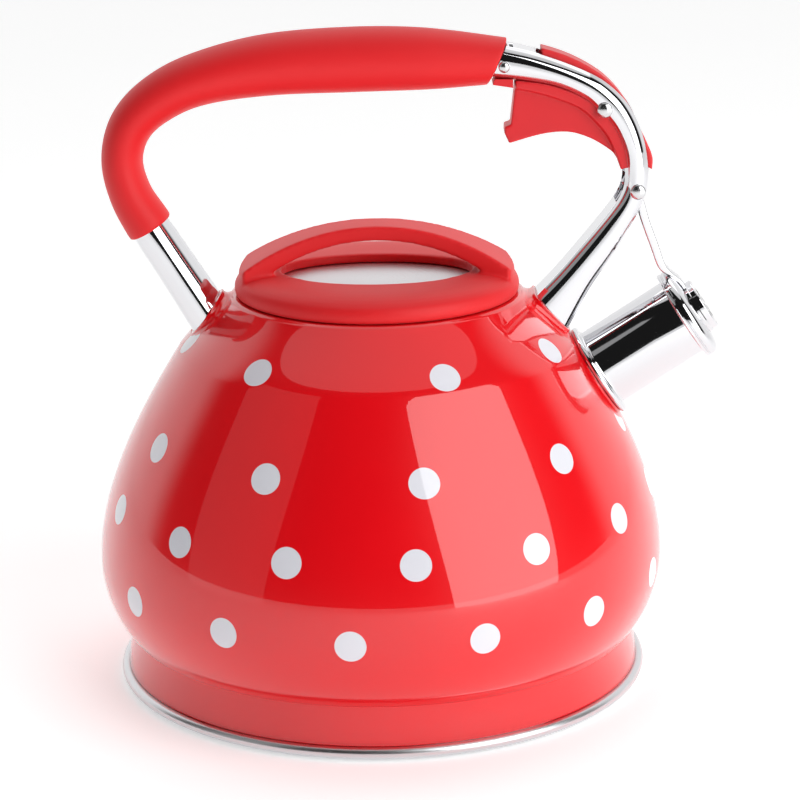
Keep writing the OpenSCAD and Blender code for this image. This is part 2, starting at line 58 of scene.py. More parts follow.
RIM_R, RIM_Z = 101.6, 2.8
BEAD_R = 2.3
FOOT, WAIST, BELLY = (101.0, 5.1), (99.5, 20.0), (110.4, 48.0)
SHOULDER, NECK = (77.5, 131.0), (56.0, 152.2)
MOUTH_R = 46.0
BODY_WALL = 1.0
SPOUT_SEAT, SPOUT_ANGLE = (85.0, 118.5), 33.0
SPOUT_R, SPOUT_WALL, SPOUT_LEN = 15.7, 0.8, 41.3
SPOUT_HOLE_R, SPOUT_HOLE_DEPTH = 17.0, 30
FLANGE_R, FLANGE_T = 19.1, 2.6
CAP_R, CAP_WALL, CAP_RIM, DOME_H = 18.7, 0.8, 39.5, 6.2
CAP_FACE = CAP_RIM + DOME_H
PAD_T, WHISTLE_R, WHISTLE_H = 1.4, 10.5, 2.4
REAR_FOOT, REAR_LEAN, REAR_SEAM = (-66.05, 144.85), -31.25, -21.9
FRONT_FOOT, FRONT_LEAN, FRONT_SEAM = (67.45, 144.35), 37.5, 8.86
COLLAR_RIM = 1.4
ARM_HALF_W, ARM_WALL, ARM_CROWN = 10.0, 1.4, 1.3
ARM_ROUND_IN, ARM_ROUND_OUT = 3.4, 3.9
RIVET_DOME = 1.5
LEVER_HALF_W = 4.5
TRIGGER_PIVOT, CAP_PIVOT, RIVET_AT = (86.8, 223.1), (99.6, 191.5), (49.0, 239.9)
GRIP_START, GRIP_SLANT, TUBE_STICK_OUT = 2, 0.38, 4.6
HANDLE_LINE = [REAR_FOOT, (-76, 161.2), (-86.6, 178.6), (-93.6, 191.5), (-96.3, 205), (-92.4, 218),
               (-82, 228), (-66, 235.4), (-40, 240.4), (-8, 242), (20, 241.9), (46.5, 240.6)]
# Half height and half width at each point of the handle's line
GRIP_SIZES = [(9, 11.4), (9, 11.4), (9, 11.4), (8.2, 11.4), (7.9, 11.6), (8.4, 12), (9.2, 12.6),
              (10, 13), (11.6, 13.4), (12.3, 13.4), (11.6, 13), (9, 11)]
TUBE_SIZES = [(8.5, 11.5), (7.9, 11), (7.4, 10.4)] + [(4.9, 7.9)]*10
ARM_OUTER = [(50, 247.3), (60, 244.9), (73, 240.4), (84.6, 234.9), (92.6, 228.4), (97.6, 221.6),
             (101.2, 213.5), (103.4, 204), (103.6, 195), (101.2, 185.4), (92, 168.6), (82, 153.6),
             (73.6, 137.9)]
ARM_INNER = [(44.2, 235.2), (56, 233.9), (68.3, 231.5), (78.4, 226.9), (83.6, 222.4), (87.4, 219),
             (91, 213.8), (94, 206.4), (94.9, 198), (93.6, 190.6), (87.6, 181.4), (71, 161.3),
             (61.3, 150.8)]
SLOT_HALF_W, SLOT_START_X, SLOT_START_Z, SLOT_END_Z = 6.0, 61.6, 220, 171.0
BOX_START_Z = 187.0

# Rows of dots on the body: height of the centres, number, first angle and step round from the front
DOT_ROWS = [(136.0, 8, 19.9, 43.3), (103.3, 10, 10.2, 36.0), (76.4, 14, 7.2, 360/14),
            (47.7, 14, -5.6, 360/14)]


def curve(a, b, c, d, n):
    """Points of a cubic curve, without its last point."""
    a, b, c, d = (np.array(p, float) for p in (a, b, c, d))
    return [(1 - t)**3*a + 3*(1 - t)**2*t*b + 3*(1 - t)*t*t*c + t**3*d for t in np.arange(n)/n]


def spline(points, n):
    """Smooth line through a list of points, n steps a span."""
    p = [np.array(q, float) for q in points]
    line = []
    for i in range(len(p) - 1):
        a, b, c, d = p[max(i - 1, 0)], p[i], p[i + 1], p[min(i + 2, len(p) - 1)]
        for t in np.arange(n)/n:
            line.append(0.5*(2*b + (c - a)*t + (2*a - 5*b + 4*c - d)*t*t
                             + (3*b - a - 3*c + d)*t**3))
    return np.array(line + [p[-1]])


def tangents(line):
    """Unit direction at each point of a flat line."""
    d = np.gradient(np.asarray(line, float), axis=0)
    return d/np.linalg.norm(d, axis=1)[:, None]


def normals(line):
    """Left normal at each point of a flat line."""
    t = tangents(line)
    return np.stack([-t[:, 1], t[:, 0]], axis=1)


def arc(centre, radius, start, end, n=8):
    """Points of an arc, in degrees."""
    a = np.radians(np.linspace(start, end, n))
    return [np.array([centre[0] + radius*math.cos(x), centre[1] + radius*math.sin(x)]) for x in a]


def body_outline():
    """Outer line of the body, from the foot of its skirt up to the neck ring."""
    foot, waist, belly, shoulder, neck = (np.array(p) for p in (FOOT, WAIST, BELLY, SHOULDER, NECK))
    return np.array(
        curve(foot, foot + (-0.4, 5), waist - (0, 6), waist, 12)
        + curve(waist, waist + (5, 4.8), belly - (0, 12), belly, 32)
        + curve(belly, belly + (0, 28), shoulder + (15.5, -24), shoulder, 56)
        + curve(shoulder, shoulder + (-2.6, 4), neck + (6, -6.2), neck, 36)
        + [neck])


BODY_LINE = body_outline()


def body_radius(z):
    """Radius of the body at a height; negative above the neck, so that nothing there is inside."""
    return np.interp(z, BODY_LINE[:, 1], BODY_LINE[:, 0], right=-1.0)


def drop_to_body(points, axis):
    """How far each point lies above the body's surface along a unit axis."""
    low = np.full(len(points), -12.0)
    high = np.full(len(points), 45.0)
    for _ in range(40):
        mid = (low + high)/2
        q = points - mid[:, None]*axis
        inside = np.hypot(q[:, 0], q[:, 1]) < body_radius(q[:, 2])
        high = np.where(inside, mid, high)
        low = np.where(inside, low, mid)
    return (low + high)/2


def fillet(matrix, rim, out, flare, fall, gap, least, sink):
    """Rings of a fillet from just below a rim, out and down onto the body."""
    up = np.array(matrix)[:3, 2]
    rings = []
    for t in np.linspace(0, 90, 14):
        reach = rim + out*flare*(1 - math.cos(math.radians(t)))
        point = np.column_stack([reach, np.zeros(len(rim))])
        low = drop_to_body(apply_frame(matrix, point), up)
        lift = np.maximum(fall - gap, least)*(1 - math.sin(math.radians(t)))
        point[:, 2] = -low + lift - sink*t/90
        rings.append(point)
    return rings


# ---------- frames ----------


def spout_frame():
    """The spout's frame: Z runs out along the spout from the flange's seat."""
    return (Matrix.Translation((SPOUT_SEAT[0], 0, SPOUT_SEAT[1]))
            @ Matrix.Rotation(math.radians(90 - SPOUT_ANGLE), 4, "Y"))


def foot_frame(at, lean):
    """A foot's frame: Z runs up along the arm."""
    return Matrix.Translation((at[0], 0, at[1])) @ Matrix.Rotation(math.radians(lean), 4, "Y")


def cross_frame(at, side=1):
    """Frame across the handle at [x, z], whose Z runs outwards on that side."""
    return Matrix.Translation((at[0], 0, at[1])) @ Matrix.Rotation(math.radians(-90*side), 4, "X")


def apply_frame(matrix, points):
    """Points moved by a frame."""
    m = np.array(matrix)
    return np.asarray(points, float) @ m[:3, :3].T + m[:3, 3]


def at_spout(u, v):
    """Point at u along the spout and v above its axis, as [x, z]."""
    a = math.radians(SPOUT_ANGLE)
    return (SPOUT_SEAT[0] + u*math.cos(a) - v*math.sin(a),
            SPOUT_SEAT[1] + u*math.sin(a) + v*math.cos(a))


# ---------- meshes ----------


class Shape:
    """Collects rings of points, in millimetres, and makes one mesh object of them, in metres."""

    def __init__(self):
        self.points, self.faces, self.count = [], [], 0

    def rings(self, rings, closed=True, cap_start=False, cap_end=False, loop=False):
        """Joins rings of equally many points by quads."""
        rings = [np.asarray(r, float) for r in rings]
        n, m, base = len(rings[0]), len(rings), self.count
        self.points.extend(p for r in rings for p in r)
        self.count += n*m
        for i in range(m if loop else m - 1):
            j = (i + 1) % m
            for k in range(n if closed else n - 1):
                q = (k + 1) % n
                self.faces.append((base + i*n + k, base + i*n + q, base + j*n + q, base + j*n + k))
        if cap_start:
            self.faces.append(tuple(base + k for k in reversed(range(n))))
        if cap_end:
            self.faces.append(tuple(base + (m - 1)*n + k for k in range(n)))
        return self

    def lathe(self, profile, matrix=None, sides=128, loop=False):
        """Turns a profile of [radius, height] points about the frame's Z axis."""
        a = np.radians(np.arange(sides)*360/sides)
        rings = [np.stack([r*np.cos(a), r*np.sin(a), np.full(sides, float(h))], axis=1)
                 for r, h in profile]
        if matrix is not None:
            rings = [apply_frame(matrix, r) for r in rings]
        return self.rings(rings, loop=loop)

    def build(self, name, body, material, slot, replaced=(), sharp=35, keep=None):
        """Makes the object, smooth but for edges sharper than the given angle, and rides it."""
        mesh = bpy.data.meshes.new(name)
        mesh.from_pydata([tuple(p*MM) for p in self.points], [], self.faces)
        made = bmesh.new()
        made.from_mesh(mesh)
        bmesh.ops.remove_doubles(made, verts=made.verts, dist=1e-7)
        if keep is not None:
            lost = [f for f in made.faces if not keep(f.calc_center_median()/MM)]
            bmesh.ops.delete(made, geom=lost, context="FACES")
        bmesh.ops.recalc_face_normals(made, faces=made.faces)
        limit = math.radians(sharp)
        for face in made.faces:
            face.smooth = True
        for edge in made.edges:
            edge.smooth = len(edge.link_faces) != 2 or edge.calc_face_angle(0) < limit
        made.to_mesh(mesh)
        made.free()
        piece = bpy.data.objects.new(name, mesh)
        bpy.context.scene.collection.objects.link(piece)
        return finish_piece(piece, body, material, replaced)


def finish_piece(piece, body, material, replaced=()):
    """Gives a piece its material and its body, and hides the nodes that it stands for."""
    piece.data.materials.clear()
    piece.data.materials.append(material)
    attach(piece, body)
    if replaced:
        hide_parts(*replaced)
    return piece


def moulded(node, name, body, material, voxel, rounds):
    """A moulded copy of a node: its solid with every edge softened."""
    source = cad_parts[node]
    piece = bpy.data.objects.new(name, source.data.copy())
    bpy.context.scene.collection.objects.link(piece)
    remesh = piece.modifiers.new("Remesh", "REMESH")
    remesh.mode = "VOXEL"
    remesh.voxel_size = voxel*MM
    remesh.use_smooth_shade = True
    smooth = piece.modifiers.new("Soften", "SMOOTH")
    smooth.factor = 0.5
    smooth.iterations = rounds
    bpy.context.view_layer.update()
    graph = bpy.context.evaluated_depsgraph_get()
    mesh = bpy.data.meshes.new_from_object(piece.evaluated_get(graph))
    piece.modifiers.clear()
    piece.data = mesh
    mesh.polygons.foreach_set("use_smooth", [True]*len(mesh.polygons))
    return finish_piece(piece, body, material, [node])


def oval(a, b, power=2.0, n=64):
    """Oval outline; power 2 is an ellipse, a higher power is squarer."""
    t = np.radians(np.arange(n)*360/n)
    c, s = np.cos(t), np.sin(t)
    return np.stack([a*np.sign(c)*np.abs(c)**(2/power), b*np.sign(s)*np.abs(s)**(2/power)], axis=1)


def tube_ring(point, direction, side, size, n=48, slant=0.0):
    """One ring of a swept oval tube, as points [x, y, z]."""
    a = np.radians(np.arange(n)*360/n)
    up = size[0]*np.cos(a)
    c = point + side*up[:, None] + direction*(up*slant)[:, None]
    return np.stack([c[:, 0], size[1]*np.sin(a), c[:, 1]], axis=1)


def strip_rings(line, half, width, corner):
    """Rings of a flat strip along a flat line, with rounded corners."""
    side = normals(line)
    rings = []
    for p, u, h in zip(line, side, half):
        r = min(corner, h*0.95)
        outline = []
        for cx, cy, a in ((1, 1, 0), (-1, 1, 90), (-1, -1, 180), (1, -1, 270)):
            outline += arc((cx*(h - r), cy*(width - r)), r, a, a + 90, 4)
        rings.append([[p[0] + u[0]*e, y, p[1] + u[1]*e] for e, y in outline])
    return rings


# ---------- shader maths ----------


class Value:
    """A socket that can be written in arithmetic; each operator adds its Math node."""

    def __init__(self, shader, socket):
        self.shader, self.socket = shader, socket

    def _math(self, operation, *values, clamp=False):
        return self.shader.node("ShaderNodeMath", {"operation": operation, "use_clamp": clamp},
                                *values)

    def __add__(self, other):
        return self._math("ADD", self, other)

    def __radd__(self, other):
        return self._math("ADD", other, self)

    def __sub__(self, other):
        return self._math("SUBTRACT", self, other)

    def __rsub__(self, other):
        return self._math("SUBTRACT", other, self)

    def __mul__(self, other):
        return self._math("MULTIPLY", self, other)

    def __rmul__(self, other):
        return self._math("MULTIPLY", other, self)

    def __truediv__(self, other):
        return self._math("DIVIDE", self, other)

    def __neg__(self):
        return self._math("MULTIPLY", self, -1.0)

    def __lt__(self, other):
        return self._math("LESS_THAN", self, other)

    def root(self):
        return self._math("SQRT", self)

    def fraction(self):
        return self._math("FRACT", self)

    def atan2(self, other):
        return self._math("ARCTAN2", self, other)

    def larger(self, other):
        return self._math("MAXIMUM", self, other)

    def clamped(self):
        return self._math("ADD", self, 0.0, clamp=True)


class Finish:
    """A material with its shader, and the nodes that feed it."""

    def __init__(self, name, color, roughness, metallic=0.0, **fixed):
        self.material = bpy.data.materials.new(name)
        self.material.use_nodes = True
        self.material.diffuse_color = (*color[:3], 1.0)
        self.tree = self.material.node_tree
        self.shader = self.tree.nodes["Principled BSDF"]
        self.shader.inputs["Base Color"].default_value = (*color[:3], 1.0)
        self.shader.inputs["Roughness"].default_value = roughness
        self.shader.inputs["Metallic"].default_value = metallic
        for socket, value in fixed.items():
            self.shader.inputs[socket.replace("_", " ")].default_value = value

    def put(self, socket, value):
        """Sets an input, or links it."""
        if isinstance(value, Value):
            self.tree.links.new(value.socket, socket)
        else:
            socket.default_value = value

    def node(self, kind, settings, *values, out=0, **named):
        """Adds any node: its settings first, then the values or links of its sockets."""
        made = self.tree.nodes.new(kind)
        for key, value in settings.items():
            setattr(made, key, value)
        for socket, value in zip(made.inputs, values):
            self.put(socket, value)
        for key, value in named.items():
            self.put(made.inputs[key], value)
        return Value(self, made.outputs[out])

    def feed(self, socket, value):
        """Links a value to an input of the shader."""
        self.put(self.shader.inputs[socket], value)

    def point(self):
        """The point on the surface, in metres in the kettle's frame."""
        return self.node("ShaderNodeTexCoord", {}, out=3)

    def place(self):
        """That point's x, y and z."""
        split = self.tree.nodes.new("ShaderNodeSeparateXYZ")
        self.put(split.inputs[0], self.point())
        return [Value(self, s) for s in split.outputs]

    def noise(self, point, scale, detail=2.0, rough=0.5):
        """Soft noise from 0 to 1."""
        return self.node("ShaderNodeTexNoise", {}, Vector=point, Scale=scale, Detail=detail,
                         Roughness=rough)

    def stretched(self, point, x, y, z):
        """A point scaled by a different amount each way."""
        return self.node("ShaderNodeVectorMath", {"operation": "MULTIPLY"}, point, (x, y, z))

    def mix(self, share, a, b):
        """Colour from a to b by a share."""
        made = self.tree.nodes.new("ShaderNodeMix")
        made.data_type = "RGBA"
        self.put(made.inputs[0], share)
        self.put(made.inputs[6], a if isinstance(a, Value) else (*a[:3], 1.0))
        self.put(made.inputs[7], b if isinstance(b, Value) else (*b[:3], 1.0))
        return Value(self, made.outputs[2])

    def bump(self, height, distance, strength=1.0):
        """Feeds a height to the shader's normal."""
        self.feed("Normal", self.node("ShaderNodeBump", {}, Strength=strength, Distance=distance,
                                      Height=height))


def shade(color, share):
    """A colour made darker or lighter."""
    return tuple(min(1, share*c) for c in color)


def dot_mask(finish, radius):
    """1 inside the white dots of the body, 0 outside."""
    x, y, z = finish.place()
    turn = x.atan2(-y)*(0.5/math.pi)
    mask = None
    for height, count, first, step in DOT_ROWS:
        r = float(body_radius(height))*MM
        slope = float(body_radius(height + 1) - body_radius(height - 1))/2
        cells = (turn - (first - step/2)/360).fraction()*(360/step)
        across = (cells.fraction() - 0.5)*(math.radians(step)*r)
        up = (z - height*MM)*math.hypot(1, slope)
        away = (across*across + up*up).root()
        dot = ((radius*MM - away)/DOT_EDGE + 0.5).clamped()
        if count*step < 359:
            dot = dot*(cells < float(count))
        mask = dot if mask is None else mask.larger(dot)
    return mask


def glaze(name, sizes):
    """Starts a high-gloss enamel with a faint ripple, and gives its finish and its red."""
    f = Finish(name, sizes.enamel, 0.32, Coat_Weight=1.0, Coat_Roughness=0.025, Coat_IOR=1.6,
               Specular_IOR_Level=0.15)
    point = f.point()
    red = f.mix(f.noise(point, 18.0, 3.0), shade(sizes.enamel, 0.93), shade(sizes.enamel, 1.05))
    f.feed("Roughness", 0.28 + 0.08*f.noise(point, 60.0))
    f.bump(f.noise(point, 140.0, 2.0), 0.00002, 0.35)
    return f, red


def enamel(sizes):
    """Red enamel with white dots under its glaze."""
    f, red = glaze("red_enamel", sizes)
    f.feed("Base Color", f.mix(dot_mask(f, sizes.dot_r), red, sizes.dot_color))
    return f.material


def plain_enamel(sizes):
    """The same enamel without dots, for the collars and the boss."""
    f, red = glaze("plain_enamel", sizes)
    f.feed("Base Color", red)
    return f.material


def polished(sizes):
    """Polished steel with faint smears and hairlines."""
    f = Finish("polished_steel", sizes.steel, 0.06, 1.0)
    point = f.point()
    smear = f.noise(f.stretched(point, 30, 90, 30), 1.0, 3.0)
    hair = f.noise(f.stretched(point, 160, 900, 160), 1.0, 2.0)
    f.feed("Roughness", sizes.polish + 0.04*smear + 0.02*hair)
    f.feed("Base Color", f.mix(smear, shade(sizes.steel, 0.97), sizes.steel))
    f.bump(hair, 0.000004, 0.3)
    return f.material


def satin(sizes):
    """Spun satin steel: fine rings round the kettle's axis."""
    f = Finish("satin_steel", sizes.steel, 0.3, 1.0)
    x, y, _ = f.place()
    radius = (x*x + y*y).root()
    rings = f.node("ShaderNodeTexNoise", {"noise_dimensions": "1D"}, W=radius*3000.0, Detail=3.0)
    cloud = f.noise(f.point(), 40.0, 3.0)
    f.feed("Roughness", 0.2 + 0.12*rings + 0.08*cloud)
    f.feed("Base Color", f.mix(rings, shade(sizes.steel, 0.86), sizes.steel))
    f.bump(rings, 0.00001, 0.4)
    return f.material


def soft_touch(sizes):
    """Matt soft-touch coating with a very fine grain and slightly shinier worn patches."""
    f = Finish("soft_touch_red", sizes.grip, 0.55, Sheen_Weight=0.12, Sheen_Roughness=0.4,
               Specular_IOR_Level=0.35)
    point = f.point()
    grain = f.noise(point, 2600.0, 2.0)
    worn = f.noise(point, 26.0, 3.0)
    f.feed("Base Color", f.mix(worn, shade(sizes.grip, 0.95), sizes.grip))
    f.feed("Roughness", 0.5 + 0.1*grain - 0.06*worn)
    f.bump(grain, 0.00002, 0.5)
    return f.material


def moulded_plastic(sizes):
    """Semi-gloss moulded plastic with a faint flow in its colour."""
    f = Finish("moulded_red", sizes.trigger, 0.38)
    point = f.point()
    flow = f.noise(f.stretched(point, 50, 120, 50), 1.0, 3.0)
    grain = f.noise(point, 1800.0, 2.0)
    f.feed("Base Color", f.mix(flow, shade(sizes.trigger, 0.92), sizes.trigger))
    f.feed("Roughness", 0.34 + 0.1*flow)
    f.bump(grain, 0.000015, 0.4)
    return f.material


def rubber(sizes):
    """Translucent white silicone with a dull surface."""
    f = Finish("silicone", (0.75, 0.75, 0.74), 0.6, Subsurface_Weight=0.1)
    point = f.point()
    cloud = f.noise(point, 120.0, 3.0)
    f.feed("Base Color", f.mix(cloud, (0.68, 0.68, 0.67), (0.8, 0.8, 0.79)))
    f.feed("Roughness", 0.5 + 0.2*cloud)
    f.bump(f.noise(point, 1500.0), 0.00002, 0.4)
    return f.material


def plain_metal(name, color, roughness):
    """Dull metal for rivets, springs, screws and the core."""
    f = Finish(name, color, roughness, 1.0)
    point = f.point()
    cloud = f.noise(point, 300.0, 4.0)
    f.feed("Base Color", f.mix(cloud, shade(color, 0.8), color))
    f.feed("Roughness", roughness - 0.08 + 0.16*cloud)
    f.bump(f.noise(point, 2500.0), 0.00001, 0.4)
    return f.material


def floor_finish(color):
    """Plain pale floor with hardly any texture, that glows a little to hide its shadows."""
    f = Finish("pale_floor", color, 0.7, Specular_IOR_Level=0.2, Emission_Strength=0.4)
    point = f.point()
    tint = f.mix(f.noise(point, 3.0), shade(color, 0.99), color)
    f.feed("Base Color", tint)
    f.feed("Emission Color", tint)
    return f.material


MAKERS = {"enamel": enamel, "plain_enamel": plain_enamel, "polished": polished, "satin": satin,
          "soft_touch": soft_touch, "moulded": moulded_plastic, "rubber": rubber}
METALS = {"spring": ("spring_steel", (0.5, 0.5, 0.52), 0.3),
          "rivet": ("rivet_steel", (0.7, 0.7, 0.71), 0.2),
          "screw": ("screw_steel", (0.6, 0.6, 0.61), 0.3),
          "aluminium": ("aluminium", (0.72, 0.72, 0.73), 0.45)}
made_finishes = {}


def finish_of(name):
    """The material of that name, made once."""
    if name not in made_finishes:
        if name in METALS:
            made_finishes[name] = plain_metal(*METALS[name])
        else:
            made_finishes[name] = MAKERS[name](bpy.context.scene.kettle_look)
    return made_finishes[name]


def finish_node(node, name):
    """Gives a kept node its material."""
    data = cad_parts[node].data
    if not data.materials:
        data.materials.append(None)
    for i in range(len(data.materials)):
        data.materials[i] = finish_of(name)


# ---------- settings ----------


class KettleLook(bpy.types.PropertyGroup):
    """Colours and small sizes of the kettle's finish."""

    enamel: FloatVectorProperty(name="Enamel", description="Colour of the body's enamel",
                                default=(0.84, 0.003, 0.008), subtype="COLOR", min=0, max=1)
    dot_color: FloatVectorProperty(name="Dots", description="Colour of the dots",
                                   default=(0.8, 0.8, 0.86), subtype="COLOR", min=0, max=1)
    dot_r: FloatProperty(name="Dot radius", description="Radius of the dots, in millimetres",
                         default=5.8, min=1, max=12)
    grip: FloatVectorProperty(name="Grip", description="Colour of the grip and the lid cover",
                              default=(0.78, 0.012, 0.016), subtype="COLOR", min=0, max=1)
    trigger: FloatVectorProperty(name="Trigger", description="Colour of the trigger",
                                 default=(0.72, 0.008, 0.014), subtype="COLOR", min=0, max=1)
    steel: FloatVectorProperty(name="Steel", description="Tint of the steel",
                               default=(0.74, 0.74, 0.76), subtype="COLOR", min=0, max=1)
    polish: FloatProperty(name="Polish", description="Roughness of the polished steel",
                          default=0.03, min=0, max=0.5, subtype="FACTOR")


class KettleForm(bpy.types.PropertyGroup):
    """How finely the pieces are built, and the softness of their edges."""

    sides: IntProperty(name="Sides", description="Sides of the turned body", default=256, min=64,
                       max=512)
    collar_flare: FloatProperty(name="Collar flare", default=4.0, min=1, max=8,
                                description="Reach of the fillet round a collar")
    boss_flare: FloatProperty(name="Boss flare", description="Reach of the fillet round the boss",
                              default=7.0, min=2, max=12)
    lid_voxel: FloatProperty(name="Lid grain", default=0.7, min=0.4, max=2,
                             description="Grid of the moulded lid, in millimetres")
    trigger_voxel: FloatProperty(name="Trigger grain", default=0.4, min=0.25, max=1,
                                 description="Grid of the trigger, in millimetres")


class KettleStage(bpy.types.PropertyGroup):
    """Floor, lights and camera."""

    floor: FloatVectorProperty(name="Floor", description="Colour of the floor",
                               default=(0.93, 0.93, 0.93), subtype="COLOR", min=0, max=1)
    light: FloatProperty(name="Softboxes", description="Power that the softboxes take shares of",
                         default=8.0, min=0, unit="POWER")
    even: FloatProperty(name="Even light", default=0.75, min=0, max=6,
                        description="Strength of the even light over the whole set")
    sky: FloatProperty(name="Surround", description="Brightness of the studio around", default=1.0,
                       min=0, max=4)
    distance: FloatProperty(name="Camera distance", description="Distance of the camera in front",
                            default=1.0523, min=0.3, max=4, unit="LENGTH")
    height: FloatProperty(name="Camera height", description="Height of the camera", default=0.4135,
                          min=0, max=2, unit="LENGTH")
    pitch: FloatProperty(name="Camera pitch", description="How far the camera looks down",
                         default=math.radians(16.195), subtype="ANGLE", unit="ROTATION")


# ---------- pieces ----------


class KETTLE_OT_body(bpy.types.Operator):
    """Build the enamelled body with its neck ring, and the boss under the spout"""

    bl_idname = "kettle.body"
    bl_label = "Body"

    def execute(self, context):
        form = context.scene.kettle_form
        inside = BODY_LINE + normals(BODY_LINE)*BODY_WALL
        neck_r, neck_z = NECK
        collar = arc((MOUTH_R + 1.2, neck_z - 1.2), 1.2, 90, 180, 6)
        profile = (list(BODY_LINE[:-1]) + arc((neck_r - 0.8, neck_z - 0.8), 0.8, 40, 90, 5) + collar
                   + [(MOUTH_R, neck_z - 8), (MOUTH_R + BODY_WALL, neck_z - 8),
                      (MOUTH_R + BODY_WALL, inside[-1][1])]
                   + [p for p in reversed(inside) if p[0] > MOUTH_R + 2])
        seat = spout_frame()
        out = np.array(seat)[:3, 2]
        origin = np.array(seat)[:3, 3]

        def clear_of_spout(point):
            d = np.array(point) - origin
            along = d @ out
            radius = np.linalg.norm(d - along*out)
            return not (along > -SPOUT_HOLE_DEPTH and radius < SPOUT_HOLE_R)

        shape = Shape().lathe(profile, sides=form.sides, loop=True)
        shape.build("enamelled_body", "kettle", finish_of("enamel"), "red_enamel", ["body_shell"],
                    keep=clear_of_spout)

        ring = oval(1, 1, n=96)
        edge = FLANGE_R - 0.8
        top = np.column_stack([ring*edge, np.zeros(len(ring))])
        fall = drop_to_body(apply_frame(seat, top), out)
        rings = [np.column_stack([ring*r, np.full(len(ring), h)]) for r, h in
                 ((SPOUT_R + 0.05, -4.0), (SPOUT_R + 0.05, -0.05), (FLANGE_R - 1.6, -0.05),
                  (FLANGE_R - 1.0, -0.25), (edge, -0.7))]
        rings += fillet(seat, ring*edge, ring, form.boss_flare, fall, 0.9, 0.25, 0.12)
        boss = Shape().rings([apply_frame(seat, r) for r in rings])
        boss.build("spout_boss", "kettle", finish_of("plain_enamel"), "red_enamel")
        return {"FINISHED"}


class KETTLE_OT_collars(bpy.types.Operator):
    """Build the two enamelled collars that the handle stands in"""

    bl_idname = "kettle.collars"
    bl_label = "Collars"

    def execute(self, context):
        flare = context.scene.kettle_form.collar_flare
        feet = (("rear_collar", "rear_bracket", REAR_FOOT, REAR_LEAN, REAR_SEAM, (8.5, 11.5), 2.0),
                ("front_collar", "front_bracket", FRONT_FOOT, FRONT_LEAN, FRONT_SEAM,
                 (8.75, 10.0), 5.0))
        for name, node, at, lean, seam, half, power in feet:
            matrix = foot_frame(at, lean)
            up = np.array(matrix)[:3, 2]
            slope = math.tan(math.radians(seam))

            def at_seam(outline, below=0.0):
                return np.column_stack([outline, -outline[:, 0]*slope - below])

            rim = oval(half[0] + COLLAR_RIM, half[1] + COLLAR_RIM, power, 96)
            unit = rim/np.linalg.norm(rim, axis=1)[:, None]
            rings = [at_seam(rim*0.72, 1.5), at_seam(rim - unit*COLLAR_RIM*0.9),
                     at_seam(rim - unit*0.5), at_seam(rim - unit*0.15, 0.12), at_seam(rim, 0.5)]
            fall = drop_to_body(apply_frame(matrix, at_seam(rim)), up)
            rings += fillet(matrix, rim, unit, flare, fall, 0.7, 0.15, 0.15)
            shape = Shape().rings([apply_frame(matrix, r) for r in rings], cap_start=True)
            shape.build(name, "kettle", finish_of("plain_enamel"), "red_enamel", [node])
        return {"FINISHED"}


class KETTLE_OT_base(bpy.types.Operator):
    """Build the rolled steel rim and the capsule that the kettle stands on"""

    bl_idname = "kettle.base"
    bl_label = "Base"

    def execute(self, context):
        bead = arc((RIM_R, RIM_Z), BEAD_R, -150, 118, 20)
        rim = ([(0.01, 5.8), (98.2, 5.8), (98.9, 5.2), (99.0, 3.4)] + bead
               + [(100.3, 5.2), (99.3, 5.6), (99.2, 6.6), (0.01, 6.6)])
        Shape().lathe(rim, sides=256).build("rolled_rim", "kettle", finish_of("satin"), "steel",
                                            ["base_pan"])
        cover = ([(0.01, 0.35), (18, 0.35), (19, 0.0), (66, 0.0), (66.6, 0.35), (68.4, 0.35),
                  (69, 0.0)] + arc((83.6, 1.4), 1.4, -90, 0, 7) + [(85, 5.78), (0.01, 5.78)])
        Shape().lathe(cover, sides=192).build("capsule_cover", "kettle", finish_of("satin"),
                                              "steel", ["base_cover"])
        finish_node("base_core", "aluminium")
        return {"FINISHED"}


class KETTLE_OT_spout(bpy.types.Operator):
    """Build the polished spout tube and the ring round its foot"""

    bl_idname = "kettle.spout"
    bl_label = "Spout"

    def execute(self, context):
        seat = spout_frame()
        bore = SPOUT_R - SPOUT_WALL
        lip = arc((SPOUT_R - SPOUT_WALL/2, SPOUT_LEN - 0.4), SPOUT_WALL/2, 0, 180, 9)
        tube = ([(bore, -5), (SPOUT_R, -5), (SPOUT_R, 0), (SPOUT_R, 12), (SPOUT_R, 26)] + lip
                + [(bore, 20)])
        Shape().lathe(tube, seat, 160, loop=True).build(
            "spout_tube_polished", "kettle", finish_of("polished"), "polished_steel",
            ["spout_tube"])
        edge = FLANGE_T/2
        ring = ([(SPOUT_R + 0.02, 0.0)] + arc((FLANGE_R - edge, edge), edge, -90, 90, 14)
                + [(SPOUT_R + 0.9, FLANGE_T)]
                + arc((SPOUT_R + 0.9, FLANGE_T + 0.88), 0.88, -90, -180, 6))
        Shape().lathe(ring, seat, 160).build(
            "spout_ring", "kettle", finish_of("polished"), "polished_steel", ["spout_flange"])
        return {"FINISHED"}


